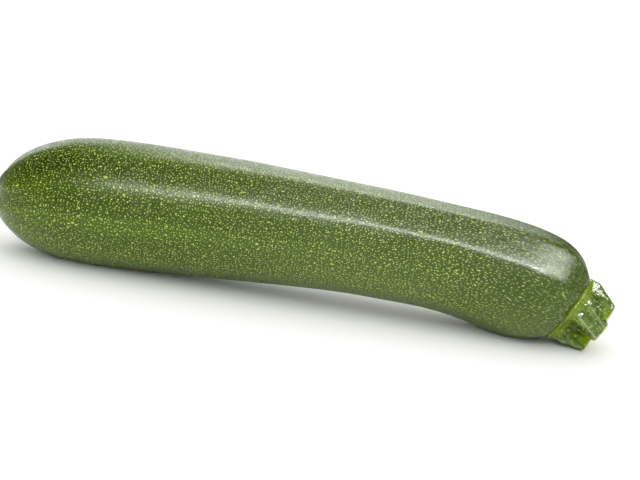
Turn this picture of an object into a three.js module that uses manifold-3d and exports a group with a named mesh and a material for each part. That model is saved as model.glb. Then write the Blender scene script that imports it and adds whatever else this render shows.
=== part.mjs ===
// A courgette as picked: one long ribbed fruit, gently arched, and the short ribbed stub of its stem.
// Millimetres, +Z up. It lies on its belly along X, with the blossom end towards -X and the stem towards +X.

import * as THREE from 'three';
import { mergeVertices } from 'three/addons/utils/BufferGeometryUtils.js';
import Module from 'manifold-3d';

const wasm = await Module();
wasm.setup();

// ---- the fruit ----

// Cross-sections from the blossom scar to the stem joint. x and z place the middle of the section, with z
// above the ground, radius reaches the crest of a rib, and slope is the angle at which the flesh climbs.
const FRUIT_SECTIONS = [
  { x: 1, z: 17.3, radius: 7, slope: 10 },
  { x: 3.6, z: 17.8, radius: 10.6, slope: 10 },
  { x: 8, z: 18.6, radius: 14.8, slope: 9.5 },
  { x: 15.5, z: 19.8, radius: 18.9, slope: 8 },
  { x: 27, z: 21.2, radius: 22, slope: 6 },
  { x: 45, z: 22.4, radius: 23, slope: 3.5 },
  { x: 75, z: 23.6, radius: 22.2, slope: 2 },
  { x: 110, z: 24.6, radius: 20.6, slope: 0 },
  { x: 145, z: 24.5, radius: 19.6, slope: -3 },
  { x: 165, z: 23.4, radius: 19.5, slope: -8 },
  { x: 180, z: 21.4, radius: 20.4, slope: -14 },
  { x: 191, z: 19.1, radius: 21, slope: -19 },
  { x: 199.5, z: 16.7, radius: 20.2, slope: -24 },
  { x: 205, z: 14.7, radius: 17.5, slope: -27 },
  { x: 208.3, z: 13.4, radius: 14.2, slope: -28 },
  { x: 209.4, z: 13, radius: 12.3, slope: -28 },
];
const FRUIT_STEPS = 38;
const RIBS = 10;
const RIB_DEPTH = 0.03; // furrow depth as a share of the local radius
const FIRST_RIB = 29; // degrees above the side that faces -Y
const SEGMENTS_PER_RIB = 4;
const GROUND_SIZE = [220, 60, 10];

// ---- the stem ----

const JOINT_GAP = 0.3;
const STEM_LENGTH = 13.2;
const STEM_BASE_RADIUS = 12.4;
const STEM_CUT_RADIUS = 10.2;
const STEM_RIBS = 5;
const STEM_FURROW = 0.17; // furrow depth as a share of the radius
const STEM_FIRST_RIB = 60; // degrees from the side that faces up, round towards -Y
const STEM_TWIST = 25; // degrees over the whole length
const STEM_LIFT = 2.6; // how far the stub bends back up at its cut end
const STEM_OUTLINE_POINTS = 40;
const STEM_STEPS = 7;

const FRUIT_MATERIAL = new THREE.MeshStandardMaterial({
  color: new THREE.Color().setRGB(0.36, 0.43, 0.19, THREE.SRGBColorSpace),
  roughness: 0.38,
  metalness: 0,
});
const STEM_MATERIAL = new THREE.MeshStandardMaterial({
  color: new THREE.Color().setRGB(0.52, 0.6, 0.33, THREE.SRGBColorSpace),
  roughness: 0.5,
  metalness: 0,
});

const SAME_POINT = 1e-4; // corners closer than this are one corner

const { degToRad, lerp } = THREE.MathUtils;

// 0 on the crest of a rib and 1 at the bottom of the furrow between two ribs.
function furrow(angle, ribs) {
  return 0.5 - 0.5 * Math.cos(ribs * angle);
}

// Keeps only the positions, merges shared corners and drops the slivers at a lathe's poles.
function closedGeometry(geometry) {
  geometry.deleteAttribute('normal');
  geometry.deleteAttribute('uv');
  const merged = mergeVertices(geometry, SAME_POINT);
  const index = merged.getIndex().array;
  const kept = [];
  for (let i = 0; i < index.length; i += 3) {
    const [a, b, c] = index.slice(i, i + 3);
    if (a !== b && b !== c && c !== a) kept.push(a, b, c);
  }
  merged.setIndex(kept);
  return merged;
}

function toManifold(geometry) {
  const closed = closedGeometry(geometry);
  return new wasm.Manifold(new wasm.Mesh({
    numProp: 3,
    vertProperties: new Float32Array(closed.getAttribute('position').array),
    triVerts: new Uint32Array(closed.getIndex().array),
  }));
}

function fromManifold(manifold) {
  const mesh = manifold.getMesh();
  const geometry = new THREE.BufferGeometry();
  geometry.setAttribute('position', new THREE.BufferAttribute(new Float32Array(mesh.vertProperties), 3));
  geometry.setIndex([...mesh.triVerts]);
  geometry.computeVertexNormals();
  return geometry;
}

// The fruit's middle line, section radius and slope at a share t of the way from scar to stem.
const middleLine = new THREE.SplineCurve(FRUIT_SECTIONS.map((s) => new THREE.Vector2(s.x, s.z)));
const girthAndSlope = new THREE.SplineCurve(
  FRUIT_SECTIONS.map((s) => new THREE.Vector2(s.radius, s.slope)),
);

// Turns a straight lathe, with t as its height, into the arched fruit.
function layAlongMiddleLine(geometry) {
  const position = geometry.getAttribute('position');
  for (let i = 0; i < position.count; i += 1) {
    const t = position.getY(i);
    const middle = middleLine.getPoint(t);
    const slope = degToRad(girthAndSlope.getPoint(t).y);
    const sideways = -position.getX(i);
    const upwards = position.getZ(i);
    position.setXYZ(
      i,
      middle.x - upwards * Math.sin(slope),
      sideways,
      middle.y + upwards * Math.cos(slope),
    );
  }
  return geometry;
}

function addFruitRibs(geometry) {
  const position = geometry.getAttribute('position');
  for (let i = 0; i < position.count; i += 1) {
    const angle = Math.atan2(position.getX(i), position.getZ(i));
    const firstRib = degToRad(90 - FIRST_RIB);
    const share = 1 - RIB_DEPTH * furrow(angle - firstRib, RIBS);
    position.setX(i, position.getX(i) * share);
    position.setZ(i, position.getZ(i) * share);
  }
  return geometry;
}

function makeFruit() {
  const profile = [new THREE.Vector2(0, 0)];
  for (let step = 0; step <= FRUIT_STEPS; step += 1) {
    const t = step / FRUIT_STEPS;
    profile.push(new THREE.Vector2(girthAndSlope.getPoint(t).x, t));
  }
  profile.push(new THREE.Vector2(0, 1));
  const straight = new THREE.LatheGeometry(
    profile,
    RIBS * SEGMENTS_PER_RIB,
    degToRad(90 - FIRST_RIB),
  );
  const flesh = toManifold(layAlongMiddleLine(addFruitRibs(straight)));

  // The flesh is flat where it lay on the ground.
  const ground = new THREE.BoxGeometry(...GROUND_SIZE);
  ground.translate(GROUND_SIZE[0] / 2, 0, -GROUND_SIZE[2] / 2);
  const grown = flesh.subtract(toManifold(ground));
  return new THREE.Mesh(fromManifold(grown), FRUIT_MATERIAL);
}

function stemOutline() {
  const points = [];
  for (let i = 0; i < STEM_OUTLINE_POINTS; i += 1) {
    const angle = (i / STEM_OUTLINE_POINTS) * 2 * Math.PI;
    const radius = 1 - STEM_FURROW * furrow(angle, STEM_RIBS);
    points.push(new THREE.Vector2(radius * Math.cos(angle), radius * Math.sin(angle)));
  }
  return new THREE.Shape(points);
}

// The stub stands on local z = 0, flares at its foot, twists, and bends towards local -x, which is up.
function makeStem() {
  const geometry = new THREE.ExtrudeGeometry(stemOutline(), {
    depth: 1,
    steps: STEM_STEPS,
    bevelEnabled: false,
  });
  const position = geometry.getAttribute('position');
  const corner = new THREE.Vector2();
  const centre = new THREE.Vector2();
  for (let i = 0; i < position.count; i += 1) {
    const h = position.getZ(i);
    const radius = lerp(STEM_BASE_RADIUS, STEM_CUT_RADIUS, h);
    corner.set(position.getX(i), position.getY(i)).multiplyScalar(radius);
    corner.rotateAround(centre, degToRad(180 + STEM_FIRST_RIB + STEM_TWIST * h));
    position.setXYZ(i, corner.x - STEM_LIFT * h * h, corner.y, h * STEM_LENGTH);
  }
  const stem = new THREE.Mesh(fromManifold(toManifold(geometry)), STEM_MATERIAL);

  const joint = FRUIT_SECTIONS.at(-1);
  const slope = degToRad(joint.slope);
  stem.position.set(
    joint.x + JOINT_GAP * Math.cos(slope),
    0,
    joint.z + JOINT_GAP * Math.sin(slope),
  );
  stem.rotation.y = Math.PI / 2 - slope;
  return stem;
}

const courgette = new THREE.Group();

const fruit = makeFruit();
fruit.name = 'fruit';
courgette.add(fruit);

const stem = makeStem();
stem.name = 'stem';
courgette.add(stem);

// The origin is the middle of the bottom of the whole courgette.
courgette.updateMatrixWorld(true);
const box = new THREE.Box3().setFromObject(courgette, true);
const middle = box.getCenter(new THREE.Vector3());
courgette.position.set(-middle.x, -middle.y, -box.min.z);
courgette.updateMatrixWorld(true);

export default courgette;
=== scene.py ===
"""A courgette as picked: a long ribbed fruit with speckled skin, and the short ribbed stub of its stem.

Lengths are in millimetres until a mesh is made. Meshes, the camera and the lights are in metres. Angles
round the fruit and the stem are in degrees, and each is `theta` once it is in radians.
"""

import math

import bpy
import numpy as np
from mathutils import Matrix, Vector, noise


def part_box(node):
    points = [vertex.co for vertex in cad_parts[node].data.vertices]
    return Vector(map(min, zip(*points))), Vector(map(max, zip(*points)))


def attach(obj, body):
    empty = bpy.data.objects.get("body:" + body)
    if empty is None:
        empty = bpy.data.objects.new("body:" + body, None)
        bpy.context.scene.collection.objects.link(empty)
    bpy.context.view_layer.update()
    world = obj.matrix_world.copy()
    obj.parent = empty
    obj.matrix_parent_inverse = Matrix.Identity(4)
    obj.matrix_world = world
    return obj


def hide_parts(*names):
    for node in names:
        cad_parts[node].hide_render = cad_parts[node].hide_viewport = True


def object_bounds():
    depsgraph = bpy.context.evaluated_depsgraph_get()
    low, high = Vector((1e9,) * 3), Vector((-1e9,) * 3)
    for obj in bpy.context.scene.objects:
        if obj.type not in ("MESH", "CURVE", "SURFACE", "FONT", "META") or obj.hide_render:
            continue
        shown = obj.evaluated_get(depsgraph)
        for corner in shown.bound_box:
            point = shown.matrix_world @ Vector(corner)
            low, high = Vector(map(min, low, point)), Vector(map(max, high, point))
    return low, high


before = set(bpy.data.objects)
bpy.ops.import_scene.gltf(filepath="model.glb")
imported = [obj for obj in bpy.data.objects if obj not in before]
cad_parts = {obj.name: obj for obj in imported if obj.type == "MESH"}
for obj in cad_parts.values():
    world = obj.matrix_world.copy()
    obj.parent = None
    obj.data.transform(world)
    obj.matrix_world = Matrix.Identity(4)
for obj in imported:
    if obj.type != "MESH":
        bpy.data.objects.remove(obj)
CAD_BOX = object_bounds()

MM = 0.001

# ---- the camera ----

CAMERA_ELEVATION = 13
CAMERA_ROLL = 9.8  # the blossom end is seen this much higher than the stem end
CAMERA_LENS = 100  # millimetres
CAMERA_DISTANCE = 0.64
CAMERA_AIM = Vector((0.0038, 0, -0.0008))  # from the middle of the courgette's box


def place_camera():
    low, high = (Vector(corner) for corner in CAD_BOX)
    aim = (low + high) / 2 + CAMERA_AIM
    elevation, roll = math.radians(CAMERA_ELEVATION), math.radians(CAMERA_ROLL)
    data = bpy.data.cameras.new("camera")
    data.lens = CAMERA_LENS
    data.sensor_width = 36
    data.clip_start = 0.01
    camera = bpy.data.objects.new("camera", data)
    bpy.context.scene.collection.objects.link(camera)
    turn = Matrix.Rotation(math.pi / 2 - elevation, 4, "X") @ Matrix.Rotation(roll, 4, "Z")
    back = Vector((0, -math.cos(elevation), math.sin(elevation))) * CAMERA_DISTANCE
    camera.matrix_world = Matrix.Translation(aim + back) @ turn
    bpy.context.scene.camera = camera


place_camera()


# ---- sums that several pieces share ----

SEED_SHIFT = (17.3, 5.9, 11.1)  # how far apart the noise of two seeds is taken


def smooth_curve(at, knots, values):
    """A natural cubic spline through the knots, read at every place in `at`."""
    x, y = np.asarray(knots, float), np.asarray(values, float)
    step = np.diff(x)
    matrix = np.eye(len(x))
    right = np.zeros(len(x))
    for i in range(1, len(x) - 1):
        matrix[i, i - 1 : i + 2] = step[i - 1], 2 * (step[i - 1] + step[i]), step[i]
        right[i] = 6 * ((y[i + 1] - y[i]) / step[i] - (y[i] - y[i - 1]) / step[i - 1])
    bend = np.linalg.solve(matrix, right)
    at = np.clip(at, x[0], x[-1])
    i = np.clip(np.searchsorted(x, at, side="right") - 1, 0, len(x) - 2)
    before, after = at - x[i], x[i + 1] - at
    cubic = (bend[i] * after**3 + bend[i + 1] * before**3) / (6 * step[i])
    left = (y[i] / step[i] - bend[i] * step[i] / 6) * after
    return cubic + left + (y[i + 1] / step[i] - bend[i + 1] * step[i] / 6) * before


def from_table(at, table):
    """A smooth curve through a table's places and values, read at every place in `at`."""
    return smooth_curve(at, *zip(*table))


def ease(value, low, high):
    """0 below low and 1 above high, with a smooth step between."""
    share = np.clip((value - low) / (high - low), 0, 1)
    return share * share * (3 - 2 * share)


def lumps(points, size, stretch, seed):
    """Smooth noise from about -1 to 1 at each point, in lumps of one size that are stretched lengthwise."""
    shift = Vector([seed * part for part in SEED_SHIFT])
    flat = (points / [stretch, 1, 1]).reshape(-1, 3) / size
    values = [noise.noise(Vector(p) + shift) for p in flat]
    return np.array(values).reshape(points.shape[:-1])


def lumps_of_all_sizes(points, layers):
    """Lumps added up, where each layer gives their height, size, lengthwise stretch and seed."""
    return sum(height * lumps(points, size, stretch, seed) for height, size, stretch, seed in layers)


def nearest_ribs(angle, crests):
    """Where each angle lies between two crests, from 0 to 1, and which crest is the one before it."""
    crests = np.sort(np.asarray(crests, float) % 360)
    wrapped = np.append(crests, crests[0] + 360)
    angle = (angle - crests[0]) % 360 + crests[0]
    which = np.clip(np.searchsorted(wrapped, angle, side="right") - 1, 0, len(crests) - 1)
    share = (angle - wrapped[which]) / (wrapped[which + 1] - wrapped[which])
    return share, which


def round_axis(along, radius, theta):
    """Points round a straight axis, at the given places along it."""
    across, up = radius * np.cos(theta), radius * np.sin(theta)
    return np.stack([along + 0 * across, across, up], axis=-1)


# ---- meshes ----


def skin_faces(count, around):
    """The faces, each as its corners' rings and steps round them. Rings -1 and `count` are the poles."""
    faces = []
    for j in range(around):
        faces.append([(-1, j + 0.5), (0, j), (0, j + 1)])
        faces += [[(i, j), (i + 1, j), (i + 1, j + 1), (i, j + 1)] for i in range(count - 1)]
        faces.append([(count, j + 0.5), (count - 1, j + 1), (count - 1, j)])
    return faces


def skin_mesh(name, rings, faces):
    """The mesh itself, with its first and last pole in the middle of the rings beside them."""
    count, around = rings.shape[:2]
    poles = [rings[0].mean(axis=0), rings[-1].mean(axis=0)]
    points = np.vstack([rings.reshape(-1, 3), poles]) * MM
    pole_index = {-1: count * around, count: count * around + 1}

    def index(ring, step):
        return pole_index[ring] if ring in pole_index else ring * around + step % around

    mesh = bpy.data.meshes.new(name)
    mesh.from_pydata(points.tolist(), [], [[index(*corner) for corner in face] for face in faces])
    return mesh


def add_attribute(mesh, name, domain, values):
    """An attribute of one number or of three, for every point or every corner of a face."""
    kind, field = ("FLOAT_VECTOR", "vector") if values.shape[1] == 3 else ("FLOAT", "value")
    data = mesh.attributes.new(name, kind, domain).data
    data.foreach_set(field, values.astype(np.float32).ravel())


def unroll(mesh, faces, around, along, unrolled):
    """Lays the skin out flat: once to fill the UV square, and once for the specks, in millimetres.

    `along` holds how far each ring lies from the first pole, and how far the last pole lies beyond the
    last ring. `unrolled` holds how far each ring lies along the skin and how long its turn is, both as the
    specks are laid out, and the share of a turn from the seam to the front.
    """
    ring, step = np.array([corner for face in faces for corner in face]).T
    ring = ring.astype(int) + 1
    share_round = step / around
    lengths, last_step = along
    lengths = np.concatenate([[0], lengths, [lengths[-1] + last_step]])
    square = np.column_stack([(lengths / lengths[-1])[ring], share_round])
    mesh.uv_layers.new(name="OFBake").data.foreach_set("uv", square.astype(np.float32).ravel())

    run, turn, front = unrolled
    run = np.concatenate([[run[0] - 1], run, [run[-1] + 1]])
    turn = np.concatenate([[0], turn, [0]])
    for_specks = np.column_stack([run[ring], (share_round - front) * turn[ring], 0 * run[ring]])
    add_attribute(mesh, "unrolled", "CORNER", for_specks)


def closed_skin(name, rings, along, unrolled, values, material_of_ring, materials):
    """A closed mesh through rings of points, with a pole at each end.

    `values` holds each attribute's values at the rings' points and at the two poles. `material_of_ring`
    holds the material of the faces that end at each ring and at the last pole.
    """
    count, around = rings.shape[:2]
    faces = skin_faces(count, around)
    mesh = skin_mesh(name, rings, faces)
    unroll(mesh, faces, around, along, unrolled)
    for attribute, (grid, poles) in values.items():
        grid = np.broadcast_to(grid, (count, around) + grid.shape[2:])
        flat = np.vstack([grid.reshape(count * around, -1), np.reshape(poles, (2, -1))])
        add_attribute(mesh, attribute, "POINT", flat)
    for material in materials:
        mesh.materials.append(material)
    slots = [material_of_ring[max(ring for ring, _ in face)] for face in faces]
    mesh.polygons.foreach_set("material_index", np.array(slots, np.int32))
    mesh.shade_smooth()
    mesh.update()
    piece = bpy.data.objects.new(name, mesh)
    bpy.context.scene.collection.objects.link(piece)
    return piece


# ---- the fruit ----

# Sections from the blossom scar to the stem joint: place of the middle along X and above the ground, radius
# at the crest of a rib, and the angle at which the flesh climbs.
FRUIT_SECTIONS = [
    (1, 17.3, 7, 10),
    (3.6, 17.8, 10.6, 10),
    (8, 18.6, 14.8, 9.5),
    (15.5, 19.8, 18.9, 8),
    (27, 21.2, 22, 6),
    (45, 22.4, 23, 3.5),
    (75, 23.6, 22.2, 2),
    (110, 24.6, 20.6, 0),
    (145, 24.5, 19.6, -3),
    (165, 23.4, 19.5, -8),
    (180, 21.4, 20.4, -14),
    (191, 19.1, 21, -19),
    (199.5, 16.7, 20.2, -24),
    (205, 14.7, 17.5, -27),
    (208.3, 13.4, 14.2, -28),
    (209.4, 13, 12.3, -28),
]

# The leftmost point of the sections, which meets the low end of the fruit's box.
FRUIT_LOW_X = FRUIT_SECTIONS[0][0] - FRUIT_SECTIONS[0][2] * math.sin(math.radians(FRUIT_SECTIONS[0][3]))
BELLY_SOFTNESS = 0.35  # how gently the underside turns up from the ground

# The scar where the blossom fell off, and the end that the stem hides: radius, and how far it stands out.
SCAR_PROFILE = [
    (0.5, 0.3), (1, 0), (1.6, -0.5), (2.3, -0.35), (3.4, -0.05), (5, 0.05), (6, 0.15), (6.5, 0.3)
]
JOINT_PROFILE = [(11.6, 0.35), (10, 0.75), (8, 0.9), (3, 0.9)]
SCAR_RADIUS = SCAR_PROFILE[-1][0]
SCAR_CORNERS = 5
CORNER_DEPTH = 0.055  # as a share of the radius
CORNER_TURN = 0.6  # radians
CORNERS_FADE = (8, 12)  # radii between which the skin loses the scar's corners
SCAR_FURROWS = 0.4  # how much of the furrows is left at the scar's edge
CORK_RADIUS = 6.4  # the part of the scar that is crumpled

# Crests of the ribs, up from the side that faces -Y, and how light the green is from each crest to the
# next.
FRUIT_RIBS = [-9, 29, 68, 104, 140, 176, 212, 247, 282, 316]
FRUIT_TONES = [0.62, 0.2, 0.3, 0.5, 0.35, 0.55, 0.4, 0.6, 0.55, 0.45]
TONE_BLEND = 0.16  # share of a gap over which one tone turns into the next
SEAM_ANGLE = 235  # where the skin is cut open for its UVs, low at the back

# By share of the length: how deep the furrows are, as a share of the radius, how round the crests between
# them are, and how far apart the specks are along the fruit and round it.
FURROW_DEPTHS = [
    (0, 0.045), (0.12, 0.014), (0.3, 0.012), (0.55, 0.022), (0.8, 0.03), (0.92, 0.034), (1, 0.06)
]
RIB_ROUNDNESS = [(0, 0.35), (0.2, 0.6), (0.45, 0.4), (0.7, 0.2), (1, 0.22)]
SPECKS_LENGTHWISE = [(0, 1), (0.1, 1.05), (0.5, 1), (0.7, 1.15), (0.82, 1.45), (0.92, 2.1), (1, 2.5)]
SPECKS_AROUND = [(0, 0.95), (0.1, 1.05), (0.5, 1), (0.7, 1.02), (0.82, 1), (0.92, 0.88), (1, 0.75)]
SPECK_RADIUS = 20  # the fruit's radius as the specks are laid out on it

# Height, size, lengthwise stretch and seed.
FRUIT_LUMPS = [(0.3, 34, 1, 1), (0.12, 9, 2, 2)]
CORK_LUMPS = [(0.12, 1.1, 1, 3), (0.08, 0.5, 1, 4)]
FRUIT_LUMPS_GROW = (7, 16)  # radii between which the lumps grow to their full height

FRUIT_RINGS = 300
SCAR_RINGS = 26
JOINT_RINGS = 7
FRUIT_AROUND = 200
FRUIT_LAST_STEP = 2  # from the last ring to the last pole, in the UVs
SKIN, SCAR = 0, 1  # the fruit's materials


def end_rings(profile, count, section, share, outwards):
    """The rings that close one end of the fruit."""
    x, z, _, slope = FRUIT_SECTIONS[section]
    radii, rises = np.array(profile, float).T
    knots, at = np.linspace(0, 1, len(profile)), np.linspace(0, 1, count)
    level = np.ones(count)
    radius, rise = np.interp(at, knots, radii), outwards * smooth_curve(at, knots, rises)
    return np.column_stack([x * level, z * level, radius, slope * level, rise, share * level])


def skin_lengths(x, z, radius):
    """How much skin there is from the first ring to each ring."""
    steps = np.hypot(np.hypot(np.diff(x), np.diff(z)), np.diff(radius))
    return np.append(0, np.cumsum(steps))


def fruit_profile():
    """Every ring's middle, radius, slope, rise and share of the length, and the skin's length up to it."""
    x, z, radius, slope = np.array(FRUIT_SECTIONS, float).T
    travelled = skin_lengths(x, z, radius)
    at = np.linspace(0, travelled[-1], FRUIT_RINGS)
    body = [smooth_curve(at, travelled, values) for values in (x, z, radius, slope)]
    body = np.column_stack(body + [np.zeros(FRUIT_RINGS), at / travelled[-1]])
    scar = end_rings(SCAR_PROFILE, SCAR_RINGS, section=0, share=0, outwards=-1)
    joint = end_rings(JOINT_PROFILE, JOINT_RINGS, section=-1, share=1, outwards=1)
    rows = np.vstack([scar, body, joint])
    x, z, radius, slope, rise, _ = rows.T
    lean = np.radians(slope)
    return rows, radius[0] + skin_lengths(x + rise * np.cos(lean), z + rise * np.sin(lean), radius)


def fruit_ribs(angle, share):
    """How far the skin sinks between the ribs, as a share of the radius, and how near a crest it is."""
    depth = from_table(share, FURROW_DEPTHS)
    roundness = from_table(share, RIB_ROUNDNESS)
    gap, _ = nearest_ribs(angle, FRUIT_RIBS)
    away = 1 - np.abs(2 * gap - 1)
    away = (np.sqrt(away**2 + roundness**2) - roundness) / (np.sqrt(1 + roundness**2) - roundness)
    return depth * (2 * away - away**2), 1 - away


def fruit_girth(radius, rise, share, sink, theta):
    """The radius with its furrows, and with the scar's blunt corners."""
    on_body = rise == 0
    with_corners = (1 - ease(radius, *CORNERS_FADE) * on_body) * (share < 0.5)
    corners = CORNER_DEPTH * with_corners * np.cos(SCAR_CORNERS * theta + CORNER_TURN)
    outer = np.clip(radius / SCAR_RADIUS, 0, 1) ** 2
    return radius * (1 - sink * np.where(on_body, 1, SCAR_FURROWS * outer)) * (1 + corners * outer)


def round_middle_line(x, z, slope, girth, rise, theta):
    """Points round the fruit's arched middle line."""
    up, side = girth * np.sin(theta), -girth * np.cos(theta)
    lean = np.radians(slope)
    ahead = x - up * np.sin(lean) + rise * np.cos(lean)
    height = z + up * np.cos(lean) + rise * np.sin(lean)
    return np.stack([ahead, side, height], axis=-1)


def rest_on_ground(rings):
    """Flattens the underside softly where it would sink into the ground."""
    height = rings[..., 2]
    rings[..., 2] = (height + np.sqrt(height**2 + BELLY_SOFTNESS**2)) / 2


def angle_from_belly(angle):
    """How far round each angle is from the underside, on either side."""
    low = (angle + 90) % 360
    return np.minimum(low, 360 - low)


def belly_reflection_stretches(share):
    """The three stretches where painted reflection makes the underside palest: the blossom end, the arch,
    and the shoulder.
    """
    blossom_end = 1 - ease(share, 0.04, 0.3)
    arch = ease(share, 0.43, 0.57) * (1 - ease(share, 0.7, 0.85))
    shoulder = ease(share, 0.8, 0.92)
    return blossom_end, arch, shoulder


def rib_tone(angle):
    """The tone between two crests at each angle, blended with the tone beyond the nearer crest."""
    gap, which = nearest_ribs(angle, FRUIT_RIBS)
    tones = np.array(FRUIT_TONES)[np.argsort(np.array(FRUIT_RIBS) % 360)]
    beside = np.where(gap < 0.5, tones[which - 1], tones[(which + 1) % len(tones)])
    towards = 0.5 * (1 - ease(np.minimum(gap, 1 - gap), 0, TONE_BLEND))
    return tones[which] * (1 - towards) + beside * towards


def tone_with_belly_reflection(angle, share, crest):
    """0 where the skin is darkest green and 1 where it is lightest, with the underside lightened by painted
    reflection.
    """
    from_belly = angle_from_belly(angle)
    blossom_end, arch, shoulder = belly_reflection_stretches(share)
    streak = 0.5 * ease(crest, 0.45, 0.95) * (1 - ease(share, 0.2, 0.7))
    # painted reflection: the underside is made lighter at the blossom end, the arch and the shoulder
    belly = (1 - ease(from_belly, 45, 95)) * (0.42 * blossom_end + 0.54 * arch + 0.45 * shoulder)
    dark_sides = 0.3 * blossom_end * ease(from_belly, 50, 100)
    below_ridge = 0.25 * ease(share, 0.72, 0.85) * np.exp(-(((from_belly - 92) / 24) ** 2))
    return np.clip(rib_tone(angle) + streak + belly - dark_sides - below_ridge, 0, 1)


def dullness_with_belly_reflection(angle, share):
    """How greyish the green is: more so towards the stem, and on the underside, where the greyness is
    painted reflection.
    """
    blossom_end, arch, shoulder = belly_reflection_stretches(share)
    towards_stem = 0.36 * ease(share, 0.25, 0.65)
    belly = 1 - ease(angle_from_belly(angle), 45, 90)
    # painted reflection: the underside is made greyer
    underside = belly * (0.3 + 0.4 * blossom_end + 0.3 * arch + 0.35 * shoulder)
    return np.clip(towards_stem + underside, 0, 1)


def speck_layout(share, skin_length):
    """How far along each ring lies as the specks are laid out, and its radius."""
    gaps = np.diff(skin_length, axis=0) / from_table(share, SPECKS_LENGTHWISE)[1:]
    run = np.append(0, np.cumsum(gaps))[:, None]
    return run, SPECK_RADIUS / from_table(share, SPECKS_AROUND)


def make_fruit(materials):
    rows, skin_length = fruit_profile()
    x, z, radius, slope, rise, share = (column[:, None] for column in rows.T)
    skin_length = skin_length[:, None]
    angle = (SEAM_ANGLE + np.arange(FRUIT_AROUND) * 360 / FRUIT_AROUND)[None, :]
    theta = np.radians(angle)

    sink, crest = fruit_ribs(angle, share)
    girth = fruit_girth(radius, rise, share, sink, theta)
    straight = round_axis(skin_length, girth, theta)
    girth = girth + lumps_of_all_sizes(straight, FRUIT_LUMPS) * ease(radius, *FRUIT_LUMPS_GROW)
    cork = lumps_of_all_sizes(straight, CORK_LUMPS) * (radius < CORK_RADIUS) * (share < 0.5)
    rings = round_middle_line(x, z, slope, girth, rise + cork, theta)
    rest_on_ground(rings)
    rings[..., 0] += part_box("fruit")[0].x / MM - rings[..., 0].min()

    run, speck_radius = speck_layout(share, skin_length)
    values = {
        "grain": (round_axis(run, speck_radius, theta), [[run[0, 0], 0, 0], [run[-1, 0], 0, 0]]),
        "straight": (straight, [[0, 0, 0], [skin_length[-1, 0], 0, 0]]),
        "tone": (tone_with_belly_reflection(angle, share, crest), [0, 0]),
        "dull": (dullness_with_belly_reflection(angle, share), [0, 0]),
        "share": (share, [0, 1]),
    }
    on_scar = (rise != 0) & (share < 0.5)
    material_of_ring = [SCAR, *np.where(on_scar[:, 0], SCAR, SKIN)]
    along = (skin_length[:, 0], FRUIT_LAST_STEP)
    unrolled = (run[:, 0], 2 * math.pi * speck_radius[:, 0], -SEAM_ANGLE % 360 / 360)
    return closed_skin("courgette_fruit", rings, along, unrolled, values, material_of_ring, materials)


# ---- the stem ----

STEM_LENGTH = 12.15
STEM_RISE = 0.5  # how far the middle of its foot stands above the middle of the joint
STEM_SLOPE = math.radians(-28)  # the angle at which the stub climbs
STEM_PROFILE = [(-1, 11.6), (0, 12.1), (2.3, 13), (6.2, 12.7), (11, 11.8), (13, 11.1)]  # height, radius
CUT_TILT = 0.9  # how much longer the stub is at the front
CUT_SLANT = 0.5  # and at the top

# Each rib: its place round from the top towards -Y, at the foot and at the cut, its girth at the cut, and
# how deep the furrow after it is.
STEM_RIBS = [
    (-6, 12, 1, 0.9),
    (55, 71, 1.02, 0.16),
    (80, 95, 1.02, 1.2),
    (146, 132, 1.05, 0.6),
    (192, 198, 1, 0.6),
    (238, 256, 1, 0.9),
    (292, 316, 1, 0.9),
]
STEM_FURROW = 0.32  # as a share of the radius
FURROW_WALL = (0.12, 0.95)  # shares of the way from a crest to a furrow's bottom between which it sinks
FURROWS_DEEPEN = (-1.5, 4.5)  # heights between which the furrows reach their full depth
LEAST_FURROW = 0.3  # share of that depth below them
EDGE_WIDTH = 1.5  # degrees, of the sharp edge along each crest
EDGE_STANDS = 0.22

FOOT_HEIGHT = -0.3
FRONT_REACH = 1.5  # how much further the foot creeps over the fruit at the front
LOBE_REACH = 0.6  # and at each rib
LOBE_STANDS = 0.35  # how much further a rib's lobe stands off the fruit
LEAST_LOBE = 0.3  # what is left of a lobe in the furrows, or of its reach at the back
FOOT_STANDS = 0.4  # how far the foot stands off the fruit
FOOT_SWELL = 0.9  # and how much further above its edge
SWELL_GROWS = (0.2, 1.6)  # heights above the edge between which it swells
FOOT_TUCK = 1.8  # how deep its edge is let into the fruit
FOOT_EDGE = 0.045  # the edge's share of the way up to the cut
FOOT_ENDS = (-0.9, 2.2)  # heights between which the foot turns into the stub

STEM_LUMPS = [(0.6, 3.4, 2, 11), (0.4, 1.7, 2, 12), (0.08, 0.8, 1, 13)]  # height, size, stretch and seed
STEM_LUMPS_GROW = (0.02, 0.1)  # shares of the way up between which the lumps grow to their full height
CUT_LUMPS = [(0.14, 1.4, 1, 14), (0.07, 0.6, 1, 15)]
STEM_CLEARANCE = 0.3  # from the ground
PRESS_SHARPNESS = 12
LEAST_DOWN = 0.05  # keeps the room below finite at the sides and on top

# Share of the cut's radius from the rim to the middle, and how far the cut stands out there.
CUT_PROFILE = [
    (1, 0), (0.975, 0.22), (0.94, 0.1), (0.8, -0.25), (0.62, -0.1), (0.5, -0.45), (0.3, -0.9), (0.05, -1)
]
CUT_EVENS_OUT = 1.5  # how soon the rim's ribs are lost towards the middle

STEM_RINGS = 84
CUT_RINGS = 34
STEM_AROUND = 240
STEM_SEAM = 180  # degrees from the top, so the underside
STEM_FRONT = 0.25  # the share of a turn from the seam to the front
STEM_FIRST_STEP = 3  # from the first pole to the first ring, in the UVs
STEM_LAST_STEP = 0.5  # and from the last ring to the last pole
SIDE, CUT = 0, 1  # the stem's materials


def on_stem(radius, theta, height):
    """From round the stem's own axis, with the height along the stub, to the fruit's frame."""
    x, z = FRUIT_SECTIONS[-1][:2]
    across = radius * np.cos(theta) + STEM_RISE * (1 - (height / STEM_LENGTH) ** 2)
    ahead = x + height * math.cos(STEM_SLOPE) - across * math.sin(STEM_SLOPE)
    above = z + height * math.sin(STEM_SLOPE) + across * math.cos(STEM_SLOPE)
    return np.stack([ahead, -radius * np.sin(theta), above], axis=-1)


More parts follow.
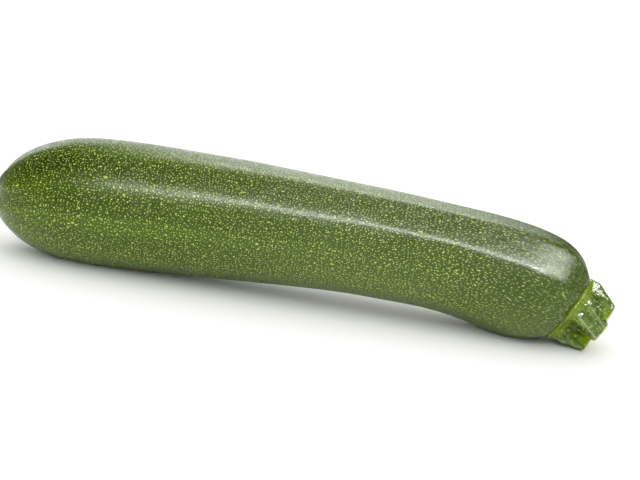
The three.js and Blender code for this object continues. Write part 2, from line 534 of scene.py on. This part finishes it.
def shoulder_radius(height):
    """How thick the fruit's end is, by height along the stem."""
    last = np.array(FRUIT_SECTIONS[:-5:-1], float)
    x, z, radius, _ = last.T
    back = (x[0] - x) * math.cos(STEM_SLOPE) + (z[0] - z) * math.sin(STEM_SLOPE)
    return np.interp(-height, back, radius)


def above_ground(radius, theta, height):
    """The radius, pressed in smoothly on the underside so that the stub stays just above the ground."""
    middle = on_stem(0 * height, theta, height)[..., 2]
    room = (middle - STEM_CLEARANCE) / math.cos(STEM_SLOPE)
    limit = room / np.maximum(-np.cos(theta), LEAST_DOWN)
    return radius / (1 + (radius / limit) ** PRESS_SHARPNESS) ** (1 / PRESS_SHARPNESS)


def ribs_of_ring(share, angle):
    """Where each angle lies between two crests, how wide and deep the furrow there is, and the girth."""
    ribs = [((foot + (cut - foot) * share) % 360, girth, depth) for foot, cut, girth, depth in STEM_RIBS]
    crests, girths, depths = np.array(sorted(ribs)).T
    gap, which = nearest_ribs(angle, crests)
    width = np.diff(np.append(crests, crests[0] + 360))[which]
    girth = 1 + (np.interp(angle, crests, girths, period=360) - 1) * share
    return gap, width, depths[which], girth


def stem_ribs(up, angle):
    """How deep in a furrow each point is, how near to a crest's edge, and how thick its rib is."""
    rings = [ribs_of_ring(share, angle[0]) for share in up[:, 0]]
    gap, width, depth, girth = np.array(rings).swapaxes(0, 1)
    away = 1 - np.abs(2 * gap - 1)
    trough = ease(away, *FURROW_WALL) * depth
    edge = np.exp(-((away * width / 2 / EDGE_WIDTH) ** 2))
    return trough, edge, girth


def cut_slant(theta):
    """How much longer the stub is at each angle than in the middle of the cut."""
    return CUT_TILT * np.sin(theta) + CUT_SLANT * np.cos(theta)


def foot_start(theta, lobe):
    """The height at which the foot starts at each angle."""
    front = np.clip(np.sin(theta), 0, 1)
    lobe_reach = LOBE_REACH * lobe[0] * (LEAST_LOBE + (1 - LEAST_LOBE) * front)
    return FOOT_HEIGHT - FRONT_REACH * front - lobe_reach


def stub_radius(height, trough, edge, girth):
    """The radius of the stub itself, with its ribs and furrows."""
    sunk = trough * (LEAST_FURROW + (1 - LEAST_FURROW) * ease(height, *FURROWS_DEEPEN))
    return from_table(height, STEM_PROFILE) * girth * (1 - STEM_FURROW * sunk) + EDGE_STANDS * edge


def foot_radius(height, up, theta, start, lobe):
    """The radius of the foot, which grows over the fruit's shoulder."""
    shoulder = shoulder_radius(height) - STEM_RISE * np.cos(theta)
    swell = FOOT_SWELL * (LEAST_LOBE + (1 - LEAST_LOBE) * lobe) * ease(height - start, *SWELL_GROWS)
    tuck = FOOT_TUCK * (1 - ease(up, 0, FOOT_EDGE))
    return shoulder + FOOT_STANDS + LOBE_STANDS * lobe + swell - tuck


def stem_side(up, theta, trough, edge, girth):
    """The height and radius of each point of the stub's side, from its foot to the cut."""
    lobe = 1 - np.clip(trough, 0, 1)
    start = foot_start(theta, lobe)
    height = start + (STEM_LENGTH + cut_slant(theta) - start) * up
    onto_stub = ease(height, *FOOT_ENDS)
    foot = foot_radius(height, up, theta, start, lobe)
    stub = stub_radius(height, trough, edge, girth)
    return height, foot * (1 - onto_stub) + stub * onto_stub


def cut_face(rim, theta):
    """The cut's rings from the rim inwards: each one's share of the radius, its radii and its rises."""
    shares, rises = np.array(CUT_PROFILE, float).T
    at = np.linspace(0, 1, CUT_RINGS + 1)[1:]
    knots = np.linspace(0, 1, len(shares))
    share = np.interp(at, knots, shares)[:, None]
    even = np.mean(rim)
    radius = share * (even + (rim - even) * share**CUT_EVENS_OUT)
    rise = smooth_curve(at, knots, rises)[:, None]
    return share, radius, rise + lumps_of_all_sizes(round_axis(0, radius, theta), CUT_LUMPS)


def make_stem(materials):
    angle = (STEM_SEAM - np.arange(STEM_AROUND) * 360 / STEM_AROUND)[None, :]
    theta = np.radians(angle)
    up = np.linspace(0, 1, STEM_RINGS)[:, None]

    trough, edge, girth = stem_ribs(up, angle)
    height, radius = stem_side(up, theta, trough, edge, girth)
    straight = round_axis(height, radius, theta)
    radius = radius + lumps_of_all_sizes(straight, STEM_LUMPS) * ease(up, *STEM_LUMPS_GROW)
    radius = above_ground(radius, theta, height)
    rim = radius[-1:]
    share, cut_radius, rise = cut_face(rim, theta)
    cut_height = STEM_LENGTH + cut_slant(theta) * cut_radius / rim + rise
    rings = np.concatenate([on_stem(radius, theta, height), on_stem(cut_radius, theta, cut_height)])
    rings[..., 0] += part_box("fruit")[0].x / MM - FRUIT_LOW_X

    steps = np.linalg.norm(np.diff(rings, axis=0), axis=-1).mean(axis=1)
    lengths = np.append(0, np.cumsum(steps)) + STEM_FIRST_STEP
    flat_cut = round_axis(STEM_LENGTH, cut_radius, theta)
    no_ribs = np.zeros((CUT_RINGS, STEM_AROUND))
    from_centre = np.concatenate([np.ones_like(up), share])
    values = {
        "grain": (np.concatenate([straight, flat_cut]), [[0, 0, 0], [STEM_LENGTH, 0, 0]]),
        "trough": (np.concatenate([trough, no_ribs]), [0, 0]),
        "edge": (np.concatenate([edge, no_ribs]), [0, 0]),
        "share": (np.concatenate([up, np.ones_like(share)]), [0, 1]),
        "from_centre": (from_centre, [0, 0]),
    }
    material_of_ring = [SIDE] * STEM_RINGS + [CUT] * (CUT_RINGS + 1)
    turn = 2 * math.pi * STEM_PROFILE[-1][1] * from_centre[:, 0]
    along, unrolled = (lengths, STEM_LAST_STEP), (lengths, turn, STEM_FRONT)
    return closed_skin("courgette_stem", rings, along, unrolled, values, material_of_ring, materials)


# ---- effects that several materials share ----


class Nodes:
    """A node tree and the short ways in which its nodes are made."""

    def __init__(self, tree):
        self.tree = tree

    def add(self, kind, inputs=None, **settings):
        node = self.tree.nodes.new(kind)
        for name, value in settings.items():
            setattr(node, name, value)
        for name, value in (inputs or {}).items():
            self.put(node.inputs[name], value)
        return node

    def put(self, socket, value):
        """Links another node's output to the socket, or sets its own value."""
        if isinstance(value, bpy.types.NodeSocket):
            self.tree.links.new(value, socket)
        else:
            socket.default_value = value

    def math(self, operation, a, b):
        return self.add("ShaderNodeMath", {0: a, 1: b}, operation=operation).outputs[0]

    def times(self, a, b):
        return self.math("MULTIPLY", a, b)

    def plus(self, a, b):
        return self.math("ADD", a, b)

    def between(self, value, low, high, to_low=0.0, to_high=1.0):
        """The value, taken smoothly from one span to another."""
        inputs = {"Value": value, "From Min": low, "From Max": high, "To Min": to_low, "To Max": to_high}
        return self.add("ShaderNodeMapRange", inputs, interpolation_type="SMOOTHSTEP").outputs["Result"]

    def contrasted(self, value, contrast):
        """0 where the value is below a half by more than the contrast, and 1 where it is above by more."""
        return self.between(value, self.math("SUBTRACT", 0.5, contrast), self.plus(0.5, contrast))

    def mix(self, share, a, b):
        node = self.add("ShaderNodeMix", data_type="RGBA")
        for socket, value in zip([node.inputs[0], node.inputs[6], node.inputs[7]], [share, a, b]):
            self.put(socket, value)
        return node.outputs[2]

    def tint(self, colour, mask, strength, other):
        """The colour, taken towards the other one where the mask is, as far as the strength says."""
        return self.mix(self.times(mask, strength), colour, other)

    def stretched(self, place, stretch):
        """The place, so that what is drawn there is longer along X."""
        scale = {"X": self.math("DIVIDE", 1.0, stretch), "Y": 1.0, "Z": 1.0}
        scale = self.add("ShaderNodeCombineXYZ", scale).outputs[0]
        return self.add("ShaderNodeVectorMath", {0: place, 1: scale}, operation="MULTIPLY").outputs[0]

    def across(self, place):
        """The place within the plane that its second and third parts span."""
        parts = self.add("ShaderNodeSeparateXYZ", {"Vector": place}).outputs
        return self.add("ShaderNodeCombineXYZ", {"X": parts["Y"], "Y": parts["Z"]}).outputs[0]

    def noise(self, place, scale, detail, roughness=0.5):
        inputs = {"Vector": place, "Scale": scale, "Detail": detail, "Roughness": roughness}
        return self.add("ShaderNodeTexNoise", inputs).outputs["Fac"]

    def attribute(self, name, output="Fac"):
        return self.add("ShaderNodeAttribute", attribute_name=name).outputs[output]

    def effect(self, group, **inputs):
        """What a shared effect puts out when it is given these values."""
        return self.add("ShaderNodeGroup", inputs, node_tree=group).outputs


def effect_group(name, inputs, outputs):
    """An empty group that takes a place and numbers, with their usual values, and puts out numbers."""
    tree = bpy.data.node_groups.new(name, "ShaderNodeTree")
    tree.interface.new_socket("Place", in_out="INPUT", socket_type="NodeSocketVector")
    for label, value in inputs.items():
        socket = tree.interface.new_socket(label, in_out="INPUT", socket_type="NodeSocketFloat")
        socket.default_value = value
    for label in outputs:
        tree.interface.new_socket(label, in_out="OUTPUT", socket_type="NodeSocketFloat")
    nodes = Nodes(tree)
    return tree, nodes, nodes.add("NodeGroupInput").outputs, nodes.add("NodeGroupOutput").inputs


def build_flecks():
    """Scattered spots: each cell holds one spot of its own size and strength, or none."""
    usual = {"Spacing": 1.2, "Size": 0.25, "Stretch": 1.4, "Softness": 0.35, "Missing": 0.2}
    tree, nodes, given, out = effect_group("flecks", usual, ["Spots"])
    place = nodes.stretched(given["Place"], given["Stretch"])
    per_mm = nodes.math("DIVIDE", 1.0, given["Spacing"])
    settings = {"Vector": place, "Scale": per_mm, "Randomness": 0.85}
    cells = nodes.add("ShaderNodeTexVoronoi", settings, voronoi_dimensions="2D").outputs
    chance = nodes.add("ShaderNodeSeparateColor", {"Color": cells["Color"]}).outputs
    size = nodes.times(given["Size"], nodes.between(chance["Red"], 0.0, 1.0, 0.78, 1.22))
    inner = nodes.times(size, nodes.math("SUBTRACT", 1.0, given["Softness"]))
    inside = nodes.between(cells["Distance"], size, inner)
    kept = nodes.math("GREATER_THAN", chance["Green"], given["Missing"])
    strength = nodes.times(kept, nodes.between(chance["Blue"], 0.0, 1.0, 0.5, 1.0))
    nodes.put(out["Spots"], nodes.times(inside, strength))
    return tree


def build_streaks():
    """Soft lines that run lengthwise."""
    usual = {"Width": 1.5, "Stretch": 12.0, "Contrast": 0.2}
    tree, nodes, given, out = effect_group("streaks", usual, ["Lines"])
    place = nodes.stretched(given["Place"], given["Stretch"])
    per_mm = nodes.math("DIVIDE", 1.0, given["Width"])
    nodes.put(out["Lines"], nodes.contrasted(nodes.noise(place, per_mm, 2.0), given["Contrast"]))
    return tree


def build_mottle():
    """Soft patches, and the fine grain inside them."""
    usual = {"Size": 12.0, "Contrast": 0.15, "Detail": 3.0}
    tree, nodes, given, out = effect_group("mottle", usual, ["Patches", "Grain"])
    per_mm = nodes.math("DIVIDE", 1.0, given["Size"])
    grain = nodes.noise(given["Place"], per_mm, given["Detail"], roughness=0.55)
    nodes.put(out["Patches"], nodes.contrasted(grain, given["Contrast"]))
    nodes.put(out["Grain"], grain)
    return tree


FLECKS = build_flecks()
STREAKS = build_streaks()
MOTTLE = build_mottle()


# ---- materials ----


def rgb(red, green, blue):
    """A colour given as it looks on a screen, from 0 to 255."""

    def linear(value):
        value /= 255
        return value / 12.92 if value <= 0.04045 else ((value + 0.055) / 1.055) ** 2.4

    return (linear(red), linear(green), linear(blue), 1)


def new_material(name, roughness):
    material = bpy.data.materials.new(name)
    material.use_nodes = True
    surface = material.node_tree.nodes["Principled BSDF"].inputs
    surface["Roughness"].default_value = roughness
    return material, Nodes(material.node_tree), surface


def raise_bumps(nodes, surface, height, depth):
    """Gives the surface bumps that are `depth` millimetres high where the height rises by 1."""
    bump = nodes.add("ShaderNodeBump", {"Height": height, "Distance": depth * MM})
    nodes.put(surface["Normal"], bump.outputs[0])


def fruit_green(nodes, tone, dull, patches, cloud, lines):
    """The skin's green without its specks."""
    lightness = nodes.plus(nodes.times(tone, 0.62), nodes.times(patches["Patches"], 0.22))
    lightness = nodes.plus(lightness, nodes.times(lines["Lines"], 0.16))
    green = nodes.mix(lightness, rgb(26, 45, 1), rgb(71, 95, 8))
    green = nodes.tint(green, cloud["Patches"], 0.2, rgb(54, 80, 6))
    return nodes.mix(dull, green, rgb(84, 101, 48))


def add_specks(nodes, green, unrolled, dull, share):
    """The green with four sizes of specks on it, which are fainter near the stem."""
    tiny = nodes.effect(
        FLECKS, Place=unrolled, Spacing=0.62, Size=0.35, Stretch=1.2, Softness=0.8, Missing=0.15
    )
    fine = nodes.effect(
        FLECKS, Place=unrolled, Spacing=0.85, Size=0.26, Stretch=1.25, Softness=0.6, Missing=0.05
    )
    bold = nodes.effect(
        FLECKS, Place=unrolled, Spacing=2.0, Size=0.125, Stretch=1.35, Softness=0.5, Missing=0.35
    )
    rare = nodes.effect(
        FLECKS, Place=unrolled, Spacing=17.0, Size=0.027, Stretch=1.6, Softness=0.6, Missing=0.3
    )
    fainter = nodes.between(share, 0.76, 0.94, 1.0, 0.5)
    pale = nodes.mix(nodes.between(dull, 0.0, 0.36), rgb(186, 202, 82), rgb(194, 210, 114))
    green = nodes.tint(green, tiny["Spots"], 0.44, rgb(110, 134, 28))
    green = nodes.tint(green, fine["Spots"], nodes.times(fainter, 0.92), pale)
    green = nodes.tint(green, bold["Spots"], fainter, rgb(200, 212, 112))
    return nodes.mix(rare["Spots"], green, rgb(170, 192, 60))


def skin_relief(nodes, grain, unrolled, share, lines):
    """The pores and ripples of the skin, and the fine lines that deepen towards the stem."""
    settings = {"Vector": grain, "Scale": 1.05}
    pores = nodes.add("ShaderNodeTexVoronoi", settings, feature="SMOOTH_F1").outputs["Distance"]
    near_stem = nodes.between(share, 0.7, 1.0, 0.15, 0.7)
    hairlines = nodes.effect(STREAKS, Place=unrolled, Width=0.5, Stretch=30.0, Contrast=0.2)
    height = nodes.plus(nodes.times(pores, 0.5), nodes.noise(grain, 1.7, 2.0))
    height = nodes.plus(height, nodes.times(lines["Lines"], near_stem))
    return nodes.plus(height, nodes.times(hairlines["Lines"], nodes.times(near_stem, 0.6)))


def speckled_skin():
    material, nodes, surface = new_material("speckled_skin", 0.34)
    grain = nodes.attribute("grain", "Vector")
    unrolled = nodes.attribute("unrolled", "Vector")
    straight = nodes.attribute("straight", "Vector")
    dull = nodes.attribute("dull")
    share = nodes.attribute("share")
    patches = nodes.effect(MOTTLE, Place=straight, Size=26.0, Contrast=0.18, Detail=2.0)
    cloud = nodes.effect(MOTTLE, Place=grain, Size=2.4, Contrast=0.2, Detail=3.0)
    lines = nodes.effect(STREAKS, Place=grain, Width=2.2, Stretch=14.0, Contrast=0.22)

    green = fruit_green(nodes, nodes.attribute("tone"), dull, patches, cloud, lines)
    nodes.put(surface["Base Color"], add_specks(nodes, green, unrolled, dull, share))
    nodes.put(surface["Roughness"], nodes.between(cloud["Grain"], 0.3, 0.7, 0.26, 0.4))
    surface["IOR"].default_value = 1.39
    raise_bumps(nodes, surface, skin_relief(nodes, grain, unrolled, share, lines), 0.06)
    return material


def corky_scar():
    material, nodes, surface = new_material("corky_scar", 0.8)
    straight = nodes.attribute("straight", "Vector")
    patches = nodes.effect(MOTTLE, Place=straight, Size=2.2, Contrast=0.2, Detail=4.0)
    face = nodes.across(straight)
    pores = nodes.effect(
        FLECKS, Place=face, Spacing=0.9, Size=0.3, Stretch=1.0, Softness=0.8, Missing=0.4
    )
    from_middle = nodes.add("ShaderNodeSeparateXYZ", {"Vector": straight}).outputs["X"]
    rim = nodes.between(from_middle, 5.4, 7.0)
    pit = nodes.between(from_middle, 2.6, 1.2)
    cork = nodes.mix(patches["Patches"], rgb(196, 178, 138), rgb(228, 218, 190))
    cork = nodes.tint(cork, pores["Spots"], 0.6, rgb(140, 112, 70))
    cork = nodes.tint(cork, rim, 0.85, rgb(126, 104, 58))
    cork = nodes.tint(cork, pit, 0.7, rgb(110, 86, 50))
    nodes.put(surface["Base Color"], cork)
    raise_bumps(nodes, surface, nodes.math("SUBTRACT", patches["Grain"], pores["Spots"]), 0.15)
    return material


def stem_green(nodes, unrolled, patches, lines, spots):
    """The stem's green: darker in the furrows, which is painted shade, yellower there and at the foot, and
    pale on its edges and at the rim.
    """
    share = nodes.attribute("share")
    deep = nodes.between(nodes.attribute("trough"), 0.15, 0.8)
    foot = nodes.between(share, 0.4, 0.12)
    mouth = nodes.times(deep, nodes.between(share, 0.62, 0.9))
    edge_strength = nodes.between(share, 0.1, 0.4, 0.0, 0.4)
    dark_lines = nodes.effect(STREAKS, Place=unrolled, Width=1.1, Stretch=4.0, Contrast=0.12)
    green = nodes.mix(patches["Patches"], rgb(56, 82, 14), rgb(108, 132, 58))
    # painted shade: the furrows are darkened, and made more saturated
    green = nodes.tint(green, deep, 0.85, rgb(70, 92, 4))
    green = nodes.tint(green, lines["Lines"], 0.22, rgb(156, 170, 96))
    green = nodes.tint(green, dark_lines["Lines"], 0.5, rgb(50, 74, 8))
    green = nodes.tint(green, foot, 0.8, rgb(120, 146, 4))
    green = nodes.tint(green, mouth, 0.75, rgb(130, 156, 8))
    green = nodes.tint(green, spots["Spots"], 0.6, rgb(188, 202, 124))
    green = nodes.tint(green, nodes.attribute("edge"), edge_strength, rgb(190, 200, 142))
    return nodes.mix(nodes.between(share, 0.965, 0.995), green, rgb(204, 208, 156))


def stem_relief(nodes, grain, lines, spots):
    """Fine grain on broad dents, with low ridges and spots."""
    height = nodes.plus(nodes.noise(grain, 1.6, 3.0), nodes.times(nodes.noise(grain, 0.75, 1.0), 4.0))
    height = nodes.plus(height, nodes.times(lines["Lines"], 0.4))
    return nodes.plus(height, nodes.times(spots["Spots"], 0.4))


def waxy_stem():
    material, nodes, surface = new_material("waxy_stem", 0.3)
    grain = nodes.attribute("grain", "Vector")
    unrolled = nodes.attribute("unrolled", "Vector")
    lines = nodes.effect(STREAKS, Place=grain, Width=0.7, Stretch=5.0, Contrast=0.14)
    patches = nodes.effect(MOTTLE, Place=grain, Size=2.4, Contrast=0.12, Detail=3.0)
    spots = nodes.effect(
        FLECKS, Place=unrolled, Spacing=1.15, Size=0.27, Stretch=1.4, Softness=0.7, Missing=0.25
    )
    nodes.put(surface["Base Color"], stem_green(nodes, unrolled, patches, lines, spots))
    nodes.put(surface["Roughness"], nodes.between(patches["Grain"], 0.3, 0.7, 0.13, 0.24))
    surface["IOR"].default_value = 1.47
    raise_bumps(nodes, surface, stem_relief(nodes, grain, lines, spots), 0.07)
    return material


def cut_stem():
    material, nodes, surface = new_material("cut_stem", 0.5)
    grain = nodes.attribute("grain", "Vector")
    out = nodes.attribute("from_centre")
    patches = nodes.effect(MOTTLE, Place=grain, Size=2.6, Contrast=0.2, Detail=4.0)
    face = nodes.across(grain)
    tubes = nodes.effect(
        FLECKS, Place=face, Spacing=1.5, Size=0.26, Stretch=1.0, Softness=0.6, Missing=0.2
    )
    ring = nodes.times(nodes.between(out, 0.5, 0.68), nodes.between(out, 0.9, 0.74))
    pith = nodes.between(out, 0.45, 0.15)
    flesh = nodes.mix(patches["Patches"], rgb(184, 194, 132), rgb(214, 218, 172))
    flesh = nodes.tint(flesh, ring, 0.5, rgb(126, 148, 68))
    flesh = nodes.tint(flesh, tubes["Spots"], 0.6, rgb(110, 124, 60))
    flesh = nodes.tint(flesh, pith, 0.6, rgb(150, 150, 92))
    flesh = nodes.mix(nodes.between(out, 0.93, 0.99), flesh, rgb(212, 214, 164))
    nodes.put(surface["Base Color"], flesh)
    height = nodes.math("SUBTRACT", patches["Grain"], nodes.times(tubes["Spots"], 0.8))
    raise_bumps(nodes, surface, height, 0.2)
    return material


def pale_floor():
    material, nodes, surface = new_material("pale_floor", 0.7)
    place = nodes.add("ShaderNodeNewGeometry").outputs["Position"]
    grain = nodes.noise(place, 90.0, 3.0)
    nodes.put(surface["Base Color"], nodes.mix(grain, (0.86, 0.86, 0.86, 1), (0.88, 0.88, 0.88, 1)))
    surface["Specular IOR Level"].default_value = 0.1
    return material


# ---- the floor and the light ----

FLOOR_REACH = 4  # metres each way
SKY_STRENGTH = 0.85


def lay_floor():
    data = bpy.data.meshes.new("floor")
    turns = [(-1, -1), (1, -1), (1, 1), (-1, 1)]
    data.from_pydata([(x * FLOOR_REACH, y * FLOOR_REACH, 0) for x, y in turns], [], [(0, 1, 2, 3)])
    data.materials.append(pale_floor())
    floor = bpy.data.objects.new("floor", data)
    bpy.context.scene.collection.objects.link(floor)


def soft_light(name, place, aim, size, watts, glossy=True, diffuse=True):
    """A rectangular lamp that can be left out of reflections, or of the light on matt surfaces."""
    data = bpy.data.lights.new(name, "AREA")
    data.shape = "RECTANGLE"
    data.size, data.size_y = size
    data.energy = watts
    lamp = bpy.data.objects.new(name, data)
    bpy.context.scene.collection.objects.link(lamp)
    lamp.location = place
    lamp.rotation_euler = (Vector(aim) - Vector(place)).to_track_quat("-Z", "Y").to_euler()
    lamp.visible_camera = False
    lamp.visible_glossy = glossy
    lamp.visible_diffuse = diffuse


def light_the_studio():
    world = bpy.data.worlds.new("studio")
    bpy.context.scene.world = world
    world.use_nodes = True
    background = world.node_tree.nodes["Background"]
    background.inputs["Color"].default_value = (1, 1, 1, 1)
    background.inputs["Strength"].default_value = SKY_STRENGTH
    world.cycles_visibility.glossy = False
    soft_light("overhead", (0, 0.1, 1.8), (0, 0, 0), (4.0, 3.2), 24, glossy=False)
    soft_light("far_wash", (0.5, 2.5, 1.6), (0.5, 2.2, 0), (2.2, 1.4), 9, glossy=False)
    soft_light("backdrop", (-0.43, 0.95, 0.3), (-0.43, 0, 0.1), (1.15, 0.5), 3.3, diffuse=False)
    soft_light("rim_box", (0.27, 0.95, 0.45), (0.1, 0, 0.03), (0.25, 0.35), 0.4, diffuse=False)
    soft_light("top_box", (0.06, 0.8, 1.02), (0, 0, 0.03), (0.52, 0.7), 6.6, diffuse=False)
    soft_light("front_fill", (-0.3, -1.2, 0.7), (0, 0, 0.03), (1.2, 0.8), 5, glossy=False)
    soft_light("ridge_box", (0.175, -0.72, 0.8), (0.05, 0, 0.03), (0.65, 0.2), 15, diffuse=False)
    soft_light("shoulder_box", (0.65, -0.18, 0.8), (0.08, 0, 0.03), (0.6, 0.5), 15.5, diffuse=False)
    soft_light("crest_box", (0.42, -0.5, 0.84), (0.08, 0, 0.03), (0.16, 0.14), 7, diffuse=False)
    bpy.context.scene.view_settings.view_transform = "Standard"


# ---- putting it together ----

fruit = make_fruit([speckled_skin(), corky_scar()])
stem = make_stem([waxy_stem(), cut_stem()])
for piece, node, slot in ((fruit, "fruit", "skin"), (stem, "stem", "stem")):
    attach(piece, "root")
    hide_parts(node)

lay_floor()
light_the_studio()
